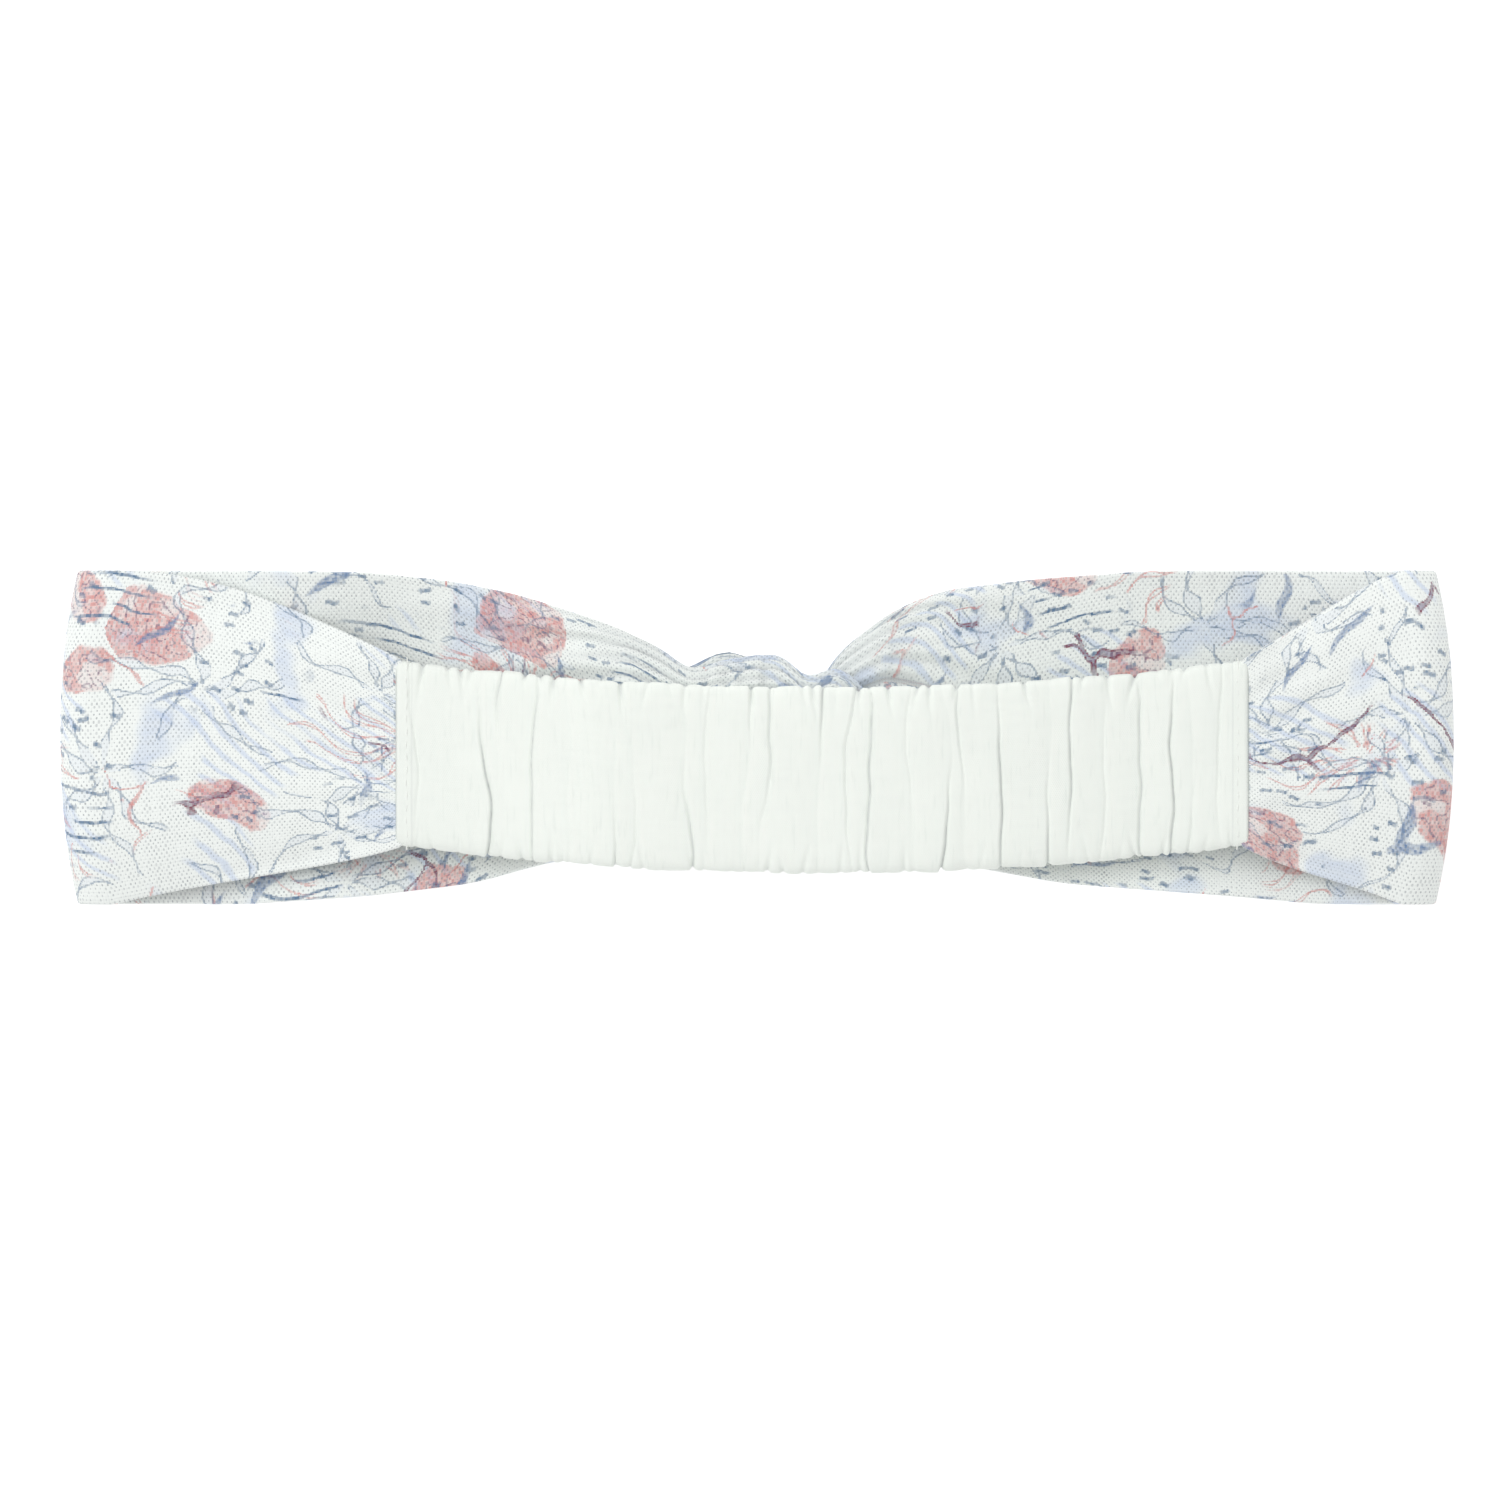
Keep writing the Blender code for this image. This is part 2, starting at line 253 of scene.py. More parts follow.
def fold_path(side, outer):
    """Round the side fold, from the back to the front."""
    radius = OUTER_FOLD_RADIUS if outer else INNER_FOLD_RADIUS
    wide = (0, side if outer else -side, 0)
    rows = []
    for angle in np.linspace(math.pi / 2, -math.pi / 2, 28):
        x = FOLD_X + radius * math.cos(angle)
        centre = (side * x, 0, FOLD_Z + radius * math.sin(angle))
        rows.append(station(centre, wide, BAND_HALF, PLY / 2, 1, (x, math.sin(angle))))
    return rows


def edge_out(edge, x):
    """How far out an edge of the front is, at a distance from the knot, with softened corners."""
    near_x = x + np.linspace(-CORNER_SOFTNESS, CORNER_SOFTNESS, 13)
    return np.mean(np.interp(near_x, *zip(*edge)))


def tucked_edge(side, x):
    """The middle of the back and how far from it the inner ply's free edge lies hidden."""
    end_x = CASING_END[side]
    t = np.clip((x - end_x) / (FOLD_X - end_x), 0, 1)
    middle = mix(casing_y(side * min(x, end_x)), 0, ease(t))
    return middle, mix(TUCKED_HALF, BAND_HALF, t)


def front_path(side, outer):
    """Along the front from the side fold, narrowing into an arm of the knot."""
    sign = 1 if outer else -1
    out = side * sign  # 1 if this ply makes the knot's upper arm, -1 if the lower one
    flat_z = OUTER_FRONT_Z if outer else INNER_FRONT_Z
    arm_z = KNOT[2] - sign * ARM_Z
    arm_inner_y = KNOT[1] + out * (ARM_Y - ARM_SIZE[0])
    edge, far_edge = (UPPER_EDGE[side], LOWER_EDGE[side])[::out]
    rows = []
    for x in np.arange(FOLD_X - PATH_STEP, ARM_START, -PATH_STEP):
        opened = 1 - np.clip((FAN_END - x) / (FAN_END - ARM_END), 0, 1) ** FAN_POWER
        edge_y = out * edge_out(edge, x)
        free_y = -out * edge_out(far_edge, x)
        if not outer:
            middle, half = tucked_edge(side, x)
            free_y = middle - out * half
        inner_y = mix(arm_inner_y, free_y, opened)
        centre = (side * x, (edge_y + inner_y) / 2, mix(arm_z, flat_z, opened))
        half_thickness = mix(ARM_SIZE[1], PLY / 2, opened)
        half_width = abs(edge_y - inner_y) / 2
        rows.append(station(centre, (0, out, 0), half_width, half_thickness, opened, (x, -1)))
    return rows


def bend_path(side):
    """In along one arm of the knot, edgewise round the other strip, and back out."""
    arm = np.array((0, side * ARM_Y, -ARM_Z))
    radius = np.linalg.norm(arm)
    outward = arm / radius
    normal = np.cross((1, 0, 0), outward)
    twist = math.atan2(side * ARM_Z, ARM_Y)
    rows = []
    for angle in np.linspace(0, math.pi, 60):
        sine, cosine = math.sin(angle), math.cos(angle)
        along = np.array((-side * (BEND_START + radius * sine), 0, 0))
        centre = KNOT + along + outward * radius * cosine
        radial = np.array((-side * sine, 0, 0)) + outward * cosine
        wide = radial * math.cos(twist * cosine) + normal * math.sin(twist * cosine)
        sizes = [mix(a, b, sine**2) for a, b in zip(ARM_SIZE, BEND_SIZE)]
        rows.append(station(centre, wide, *sizes, 0, (-BEND_START, -1)))
    return rows


def strip_path(side, step):
    """The whole strip as evenly spaced rows: outer back, fold, front, knot, and back inside."""
    outer = back_path(side, True) + fold_path(side, True) + front_path(side, True)
    inner = back_path(side, False) + fold_path(side, False) + front_path(side, False)
    rows = np.array(outer + bend_path(side) + inner[::-1])
    lengths = np.linalg.norm(np.diff(rows[:, :3], axis=0), axis=1)
    run = np.concatenate([[0], np.cumsum(lengths)])
    even = np.arange(0, run[-1], step)
    return even, np.stack([np.interp(even, run, column) for column in rows.T], axis=-1)


def cloth_ring():
    """Places round the flattened tube, from its seam and back to it, closer at its two edges."""
    half = np.linspace(0, 2 * BAND_HALF, 45)
    near_edge = BAND_HALF + np.array((-0.9, -0.5, -0.2, 0, 0.2, 0.5, 0.9))
    half = np.unique(np.concatenate([half, near_edge]))
    return np.concatenate([-half[:0:-1], half[:-1]])


def front_folds(distance, across, side):
    """How far the cloth of the front stands up at a distance from the knot's arms."""
    rise = np.zeros_like(distance + across)
    for i, (place, width, height, reach) in enumerate(FRONT_FOLDS):
        drift = 1.2 * np.sin(distance / 9 + i * 1.7 + side)
        fade = np.exp(-((np.maximum(distance, 0) / reach) ** 1.6))
        rise += height * fade * bump(across - place * (1 + 0.04 * side) - drift, width)
    return rise * FRONT_FOLD_SHARE[side]


def back_folds(distance, across):
    """How far the back panel stands up at a distance out from the casing's seam."""
    rise = np.zeros_like(distance + across)
    start = ease(distance / 3.0)
    for i, (place, width, height, reach, slant) in enumerate(BACK_FOLDS):
        fade = np.exp(-((np.maximum(distance, 0) / reach) ** 1.5)) * start
        line = place + slant * distance + 0.5 * np.sin(distance / 5 + i)
        rise += height * fade * bump(across - line, width)
    return rise


def knot_creases(x):
    """The depth of the creases that run across the knot, where it is pulled tight."""
    return sum(depth * bump(x - place, width) for place, depth, width in KNOT_CREASES)


def slow_waves(x, y, side):
    """The unevenness of cloth that lies flat."""
    return (
        0.22 * np.sin(x / 9.1 + y / 13 + side)
        + 0.16 * np.sin(x / 5.3 - y / 7.2 + 2 * side)
        + 0.10 * np.sin(x / 3.1 + y / 4.4 + 1.3)
    )


def pleats(ring, run):
    """Bunched cloth: narrow round ridges with sharp valleys between them, from -1 to 0."""
    wander = 0.5 * np.sin(ring / 9 + run / 15) + 0.35 * np.sin(ring / 4.1 - run / 11 + 1)
    return np.abs(np.sin(math.pi * ring / PLEAT_PITCH + wander)) ** 0.55 - 1


def strip_section(rows, run, ring):
    """Each point's place across the strip and out of it, and how far its pleats sink there."""
    half_width, half_thickness, flat = rows[:, 6:7], rows[:, 7:8], rows[:, 8:9]
    across, face = pressed_flat(ring)

    # two sections, flat and rounded, mixed by how flat the strip lies there
    edge = np.clip((np.abs(across)[None] - (BAND_HALF - half_thickness)) / half_thickness, 0, 1)
    angle = across / BAND_HALF * math.pi / 2
    sideways = half_width * mix(np.sin(angle)[None], (across / BAND_HALF)[None], flat)
    up = half_thickness * mix((face * np.cos(angle))[None], face * np.sqrt(1 - edge**2), flat)

    # pleats where it is bunched, which stand out from the section
    out_sideways, out_up = sideways / half_width**2, up / half_thickness**2
    length = np.hypot(out_sideways, out_up) + 1e-9
    bunched = PLEAT_DEPTH * (1 - flat) ** 1.3 * pleats(ring[None], run[:, None])
    tight = (1 - ease(flat * 8)) * np.abs(up) / half_thickness
    bunched = bunched - tight * knot_creases(rows[:, :1] + unit(rows[:, 3:6])[:, :1] * sideways)
    return sideways + bunched * out_sideways / length, up + bunched * out_up / length, bunched


def pressed_flat(ring):
    """How far across the strip each place round the tube lies, and on which of its faces."""
    on_outer = np.abs(ring) <= BAND_HALF
    across = np.where(on_outer, ring, np.sign(ring) * (2 * BAND_HALF - np.abs(ring)))
    return across, np.where(on_outer, 1.0, -1.0)


def strip_rise(rows, ring, sideways, is_back, side):
    """How far folds, waves and rolled edges lift both layers of the flat strip towards +Z."""
    flat, x = rows[:, 8:9], rows[:, 9:10]
    wide_y = unit(rows[:, 3:6])[:, 1:2]
    across = pressed_flat(ring)[0][None] * np.sign(wide_y)
    from_seam = x - CASING_END[side]
    front = front_folds(x - ARM_END, across, side) * ease(flat * 3) * (1 - is_back)
    back = back_folds(from_seam, across) * is_back
    loose = mix(ease((x - 30) / 25), ease(from_seam / 5), is_back)
    waves = slow_waves(side * x, across, side) * loose
    from_middle = np.abs(rows[:, 1:2] + wide_y * sideways) / BAND_HALF
    rolled = EDGE_ROLL * from_middle**2.4 * ease((x - 14) / 16) * ease((84 - x) / 22)
    rolled = rolled * (1 + 0.5 * bump(x - 52, 18))
    return front + back + waves + rolled * (1 - is_back)


def strip_cloth(rows, run, ring, bunched):
    """What the strip's points tell the materials: place along, place across, and how much shade is
    painted there, deep in the pleats and over the bunched knot.

    The pleats hide part of the cloth, so its threads stay as far apart there as elsewhere.
    """
    flat, x = rows[:, 8:9], rows[:, 9:10]
    shown = ring[None] * mix(PLEATED_WIDTH, 1, ease((x - 6) / 50))
    # painted shade: deeper in the pleats' valleys, and over the knot where the strip is bunched
    shade = np.clip(-bunched, 0, 1) + 0.35 * (1 - ease(flat * 2.5))
    return np.stack([np.broadcast_to(run[:, None], shown.shape), shown, shade], axis=-1)


def make_strip(name, side):
    run, rows = strip_path(side, STRIP_STEP)
    ring = cloth_ring()
    sideways, up, bunched = strip_section(rows, run, ring)
    centre, wide = rows[:, 0:3], unit(rows[:, 3:6])
    thin = unit(np.cross(unit(np.gradient(centre, axis=0)), wide))
    points = centre[:, None] + wide[:, None] * sideways[..., None] + thin[:, None] * up[..., None]
    is_back = ease(0.5 + 0.5 * rows[:, 10:11])
    points[..., 2] += strip_rise(rows, ring, sideways, is_back, side)
    points = settle(points, is_back, side)
    return grid_object(name, points, strip_cloth(rows, run, ring, bunched)), run[-1]


def settle(points, is_back, side):
    """The fold's bowed line, and the back's edges that sink towards the front."""
    x, y = points[..., 0] * side, points[..., 1]
    near_fold = ease((x - 55) / (FOLD_X - 55))
    bow = FOLD_BOW * (np.abs(y) / BAND_HALF) ** 2.2 * near_fold**2
    from_seam = np.clip((x - CASING_END[side]) / (FOLD_X - CASING_END[side]), 0, 1)
    half = mix(CASING_HALF, BAND_HALF, from_seam**BACK_WIDENING)
    sink = BACK_SINK * is_back * np.minimum(np.abs(y) / half, 1) ** 3 * ease(from_seam * 3)
    points[..., 0] -= side * bow
    points[..., 2] = np.maximum(points[..., 2] - sink, 0.02)
    return pinch(points)


def pinch(points):
    """The knot's outline, drawn in where each strip passes under the other."""
    x, y = points[..., 0], points[..., 1] - KNOT[1]
    drawn = np.where(y > 0, 1.0 * bump(x + 9.5, 3) + 3.0 * bump(x - 7.2, 3.2), 2.0 * bump(x, 8))
    near_knot = bump(np.maximum(y - 14, 0), 2)
    points[..., 1] -= np.sign(y) * drawn * ease((np.abs(y) - 6) / 5) * near_knot
    return points


# ---- the casing


CREASES = (  # gaps between the gathers' creases along the casing, and how deep each crease is
    (0.0, 1.0), (2.1, 0.5), (10.2, 1.0), (1.9, 0.9), (5.3, 0.75), (4.6, 0.25), (6.8, 0.7),
    (2.3, 0.5), (8.0, 0.95), (3.1, 0.25), (5.5, 0.85), (2.8, 0.8), (7.5, 1.0), (4.5, 0.6),
    (3.0, 0.9), (5.7, 0.3), (4.5, 0.95), (2.4, 0.7), (5.7, 0.9), (6.5, 0.8), (3.3, 0.9),
    (4.8, 0.3), (5.6, 0.85), (3.9, 0.9), (2.8, 0.7), (4.6, 0.4), (3.6, 1.0),
)
FOLD_HEIGHT = 0.46  # how far one fold of the gathered casing stands over the next
CREASE_DEPTH = 0.6
CREASE_WIDTH = 0.2
PLAIN_STAND = 0.45  # how far the casing's skin stands out from its section where it is smooth
GATHERED = 1.55  # how much longer the casing's cloth is than the casing
HEM = 1.5  # how far from the casing's ends its hem's stitches lie
TUCK_SEEDS = (23, 24)  # for the random tucks along its upper and lower edges
CASING_ROWS, CASING_AROUND = 760, 112


def casing_centre(x):
    """The casing's middle line: it rises from its ends over the knot."""
    end = np.where(x < 0, CASING_END[-1], CASING_END[1])
    level = (np.abs(x) - ARM_END - 1.5) / (end - SEWN_IN - ARM_END - 1.5)
    z = mix(CASING_MID_Z, CASING_END_Z, ease(level))
    return np.stack([x, casing_y(x), z], axis=-1)


def casing_section(count):
    """Points and outward directions, evenly spaced round the casing's flattened section."""
    half_width, half_thickness, power = CASING_HALF - 0.4, 1.75, 2 / 4.5
    dense = np.linspace(0, 2 * math.pi, 4001)
    cosine, sine = np.cos(dense), np.sin(dense)
    y = half_width * np.sign(cosine) * np.abs(cosine) ** power
    z = half_thickness * np.sign(sine) * np.abs(sine) ** power
    run = np.concatenate([[0], np.cumsum(np.hypot(np.diff(y), np.diff(z)))])
    even = np.linspace(0, run[-1], count, endpoint=False)
    y, z = np.interp(even, run, y), np.interp(even, run, z)
    ahead_y = np.roll(y, -1) - np.roll(y, 1)
    ahead_z = np.roll(z, -1) - np.roll(z, 1)
    length = np.hypot(ahead_y, ahead_z)
    return even, run[-1], y, z, ahead_z / length, -ahead_y / length


def crease_lines(length, turn):
    """Where each crease runs, lines[crease, around], and how deep it is there."""
    rng = np.random.default_rng(7)
    gaps, depths = np.array(CREASES).T
    places = np.cumsum(gaps)
    places = places * length / places[-1]
    count = len(places)
    phases = rng.uniform(0, 2 * math.pi, (4, count, 1))
    sway = rng.uniform(0.35, 1.0, (count, 1))
    sway[[0, -1]] = 0
    lines = places[:, None] + sway * (
        0.75 * np.sin(turn + phases[0]) + 0.5 * np.sin(2 * turn + phases[1])
        + 0.22 * np.sin(4 * turn + phases[2]) + 0.08 * np.sin(9 * turn + phases[3])
    )
    for k in range(1, count):
        lines[k] = np.maximum(lines[k], lines[k - 1] + 0.7)
    lines = np.minimum(lines, length)
    lines[-1] = length
    fading = np.clip(0.62 + 0.75 * np.sin(turn + phases[2]), 0.05, 1)
    return lines, depths[:, None] * fading


def gathers(along, length, turn):
    """How far the gathered cloth stands out, in flat folds that lean on each other at thin creases.

    It also gives how deep in a crease each point is, from 0 to 1, which the material paints as
    shade.
    """
    lines, depths = crease_lines(length, turn)
    columns = np.arange(along.shape[1])
    before = [np.searchsorted(lines[:, k], along[:, k], side="right") - 1 for k in columns]
    i = np.clip(np.stack(before, axis=1), 0, len(lines) - 2)
    start, end = lines[i, columns], lines[i + 1, columns]
    deep_start, deep_end = depths[i, columns], depths[i + 1, columns]
    gap = np.maximum(end - start, 0.1)
    t = np.clip((along - start) / gap, 0, 1)

    leans_left = (np.random.default_rng(11).uniform(0, 1, len(lines)) < 0.4)[i]
    rise = np.where(leans_left, 1 - t, t)
    high = np.where(leans_left, deep_start, deep_end)
    near = np.where(t < 0.5, deep_start, deep_end)
    fold = FOLD_HEIGHT * high * rise**2 * np.minimum(gap / 5, 1)
    puff = 0.16 * np.sin(math.pi * t) * np.minimum(gap / 5, 1)
    slow = 0.14 * np.sin(along / 3.1 + 1.5 * np.sin(turn) + 2)
    crease = near * bump(np.minimum(t, 1 - t) * gap, CREASE_WIDTH)
    return PLAIN_STAND + fold + puff + slow - CREASE_DEPTH * crease, crease


def puckers(along, to_edge, seed):
    """The short sharp tucks along one of the casing's two long edges."""
    rng = np.random.default_rng(seed)
    places = np.cumsum(rng.uniform(1.4, 4.6, 60))
    reach = rng.uniform(1.2, 4.0, 60)
    depth = rng.uniform(0.1, 0.7, 60)
    total = np.zeros_like(along)
    for place, far, deep in zip(places, reach, depth):
        lean = 0.25 * np.sin(place) * to_edge
        total -= deep * bump(along - place - lean, 0.38) * bump(to_edge, far)
    return total


def turned_in(ring, direction):
    """Two rings that turn the casing's end in round the strips, like a hem."""
    middle = ring.mean(axis=0)
    turned = middle + (ring - middle) * np.array((1, 0.985, 0.80))
    deeper = middle + (ring - middle) * np.array((1, 0.93, 0.60))
    turned[:, 0] -= direction * 0.30
    deeper[:, 0] += direction * 0.9
    return turned[None], deeper[None]


def casing_cloth(from_end, along, even, crease):
    """What the casing's points tell the materials, with two more rows for each turned-in end."""
    cut = along[-1, 0] * GATHERED
    steps = np.concatenate([[-1.2, -0.4], along[:, 0] * GATHERED, [cut + 0.4, cut + 1.2]])
    cloth = np.zeros((len(steps), len(even), 3))
    cloth[..., 0] = steps[:, None]
    cloth[..., 1] = even[None]
    # painted shade along a line at the hem, and in the creases and tucks
    hem = 0.6 * bump(from_end - HEM - 0.5, 0.22)
    cloth[2:-2, :, 2] = np.maximum(crease, hem)
    return cloth


def make_casing(name):
    x = np.linspace(-CASING_END[-1], CASING_END[1], CASING_ROWS)
    even, girth, y, z, out_y, out_z = casing_section(CASING_AROUND)
    length = x[-1] - x[0]
    along = np.repeat((x - x[0])[:, None], CASING_AROUND, axis=1)
    from_end = np.minimum(along, length - along)
    near_end = ease(from_end / 3.5)

    stand, crease = gathers(along, length, 2 * math.pi * (even / girth)[None])
    stand = mix(PLAIN_STAND, stand, mix(0.3, 1, near_end))
    to_edge = (CASING_HALF - np.abs(y))[None]
    upper, lower = (puckers(along, to_edge, seed) for seed in TUCK_SEEDS)
    tucks = np.where(y[None] > 0, 1.5 * upper, lower)
    stand = stand + 0.85 * tucks * near_end

    centre = casing_centre(x)
    points = np.empty((CASING_ROWS, CASING_AROUND, 3))
    points[..., 0] = centre[:, :1]
    points[..., 1] = centre[:, 1:2] + y[None] + 0.7 * (stand - 0.5) * out_y[None]
    points[..., 2] = centre[:, 2:3] + z[None] + stand * out_z[None]
    start_turned, start_deeper = turned_in(points[0], 1)
    end_turned, end_deeper = turned_in(points[-1], -1)
    points = np.concatenate([start_deeper, start_turned, points, end_turned, end_deeper])
    # the tucks take painted shade as the creases do
    crease = np.maximum(crease, np.clip(-tucks, 0, 1)) * near_end
    return grid_object(name, points, casing_cloth(from_end, along, even, crease)), length


# ---- threads and elastic


THREAD_SIDES = 8


def thread(name, points, radius, looped):
    """A round thread along points, looped or with narrowed ends."""
    if looped:
        ahead = unit(np.roll(points, -1, axis=0) - np.roll(points, 1, axis=0))
    else:
        ahead = unit(np.gradient(points, axis=0))
    guide = np.where(np.abs(ahead[:, :1]) > 0.8, [[0, 0, 1.0]], [[1.0, 0, 0]])
    first = unit(np.cross(ahead, guide))
    second = np.cross(ahead, first)
    angle = np.linspace(0, 2 * math.pi, THREAD_SIDES, endpoint=False)[None, :, None]
    size = np.full((len(points), 1, 1), radius)
    if not looped:
        size[[0, -1]] *= 0.5
    outward = first[:, None] * np.cos(angle) + second[:, None] * np.sin(angle)
    rings = points[:, None] + size * outward
    run = np.concatenate([[0], np.cumsum(np.linalg.norm(np.diff(points, axis=0), axis=1))])
    cloth = np.zeros_like(rings)
    cloth[..., 0] = run[:, None]
    cloth[..., 1] = np.arange(THREAD_SIDES)[None] * radius * 2 * math.pi / THREAD_SIDES
    return grid_object(name, rings, cloth, looped)


def make_end_seam(name, node):
    """Stitches round the casing's end, which sink into the cloth between one and the next."""
    seam_x = np.mean(box_mm(node), axis=0)[0]
    _, middle_y, middle_z = casing_centre(np.array([seam_x]))[0]
    even, girth, y, z, out_y, out_z = casing_section(1400)
    stitches = 31
    proud = 0.43 + 0.09 * np.cos(even / girth * stitches * 2 * math.pi)
    wander = 0.08 * np.sin(even * 1.3)
    points = np.stack(
        [seam_x + wander, middle_y + y + proud * out_y, middle_z + z + proud * out_z], axis=-1
    )
    return thread(name, points[::2], 0.09, True)


def make_tack(name, node):
    """A zigzag round the elastic and the strips' ends, inside the casing."""
    low, high = box_mm(node)
    middle, half = (low + high) / 2, (high - low) / 2 - (0.15, 1.2, 0.5)
    points = []
    for level in (1, -1):
        for i, t in enumerate(np.linspace(-1, 1, 22)):
            sway = half[0] * (1 if i % 2 else -1)
            points.append(middle + (sway, level * t * (half[1] - 1.0), level * half[2]))
        points.append(middle + (0, level * half[1], 0.3 * level))
    points = np.array(points)
    dense = np.linspace(0, len(points), len(points) * 6, endpoint=False)
    loop = np.concatenate([points, points[:1]])
    smooth = np.stack([np.interp(dense, np.arange(len(loop)), c) for c in loop.T], axis=-1)
    smooth = (np.roll(smooth, 1, axis=0) + smooth + np.roll(smooth, -1, axis=0)) / 3
    return thread(name, smooth, 0.15, True)


def running_stitch(start_x, end_x, place, length, depth):
    """Points of a line of stitches along X, up for one stitch and under for the next."""
    x = np.arange(start_x, end_x, 0.18)
    wave = np.sin((x - start_x) * math.pi / length)
    return place(x) + np.stack([0 * x, 0.06 * np.sin(x * 2.1), depth * np.tanh(3 * wave)], axis=-1)


def make_strip_seam(name, node):
    """The seam that closes a strip into a tube, where it lies flat along the front."""
    low, high = box_mm(node)
    side = 1 if low[0] > 0 else -1

    def place(x):
        rise = slow_waves(x, 0 * x, side) * ease((np.abs(x) - 30) / 25)
        z = INNER_FRONT_Z + PLY / 2 + rise
        return np.stack([x, 0 * x, z], axis=-1)

    return thread(name, running_stitch(low[0], high[0], place, 1.25, 0.2), 0.13, False)


def make_casing_seam(name, node):
    """The seam that closes the casing into a tube, inside it."""
    low, high = box_mm(node)

    def place(x):
        centre = casing_centre(x)
        centre[:, 2] -= 1.15
        return centre

    return thread(name, running_stitch(low[0], high[0], place, 1.1, 0.16), 0.12, False)


ELASTIC_HALF = 12.0
ELASTIC_RIB = 1.35


def make_elastic(name, node):
    """Woven elastic: lengthwise ribs, and the small waves that it takes when it is relaxed."""
    low, high = box_mm(node)
    x = np.linspace(low[0], high[0], 480)
    across = np.linspace(-ELASTIC_HALF, ELASTIC_HALF, 73)
    ribs = 0.10 * np.cos(across * 2 * math.pi / ELASTIC_RIB)
    round_edge = (np.abs(across) / (ELASTIC_HALF + 0.3)) ** 24
    thickness = 0.42 * np.sqrt(np.clip(1 - round_edge, 0.04, 1))
    y = np.concatenate([across, across[::-1]])
    z = np.concatenate([thickness + ribs, (-thickness - ribs)[::-1]])
    waves = 0.10 * np.sin(x * 2 * math.pi / 2.6)
    centre = casing_centre(x)
    points = np.empty((len(x), len(y), 3))
    points[..., 0] = centre[:, :1]
    points[..., 1] = centre[:, 1:2] + y[None]
    points[..., 2] = centre[:, 2:3] + z[None] + waves[:, None]
    cloth = np.zeros_like(points)
    cloth[..., 0] = x[:, None]
    cloth[..., 1] = y[None]
    return grid_object(name, points, cloth)


# ---- materials


class Wire:
    """A number on its way between two nodes, with arithmetic that adds Math nodes."""

    def __init__(self, graph, socket):
        self.graph, self.socket = graph, socket

    def __add__(self, other):
        return self.graph.math("ADD", self, other)

    def __sub__(self, other):
        return self.graph.math("SUBTRACT", self, other)

    def __mul__(self, other):
        return self.graph.math("MULTIPLY", self, other)

    def __truediv__(self, other):
        return self.graph.math("DIVIDE", self, other)

    def __rsub__(self, other):
        return self.graph.math("SUBTRACT", other, self)

    def __abs__(self):
        return self.graph.math("ABSOLUTE", self)

    __radd__, __rmul__ = __add__, __mul__


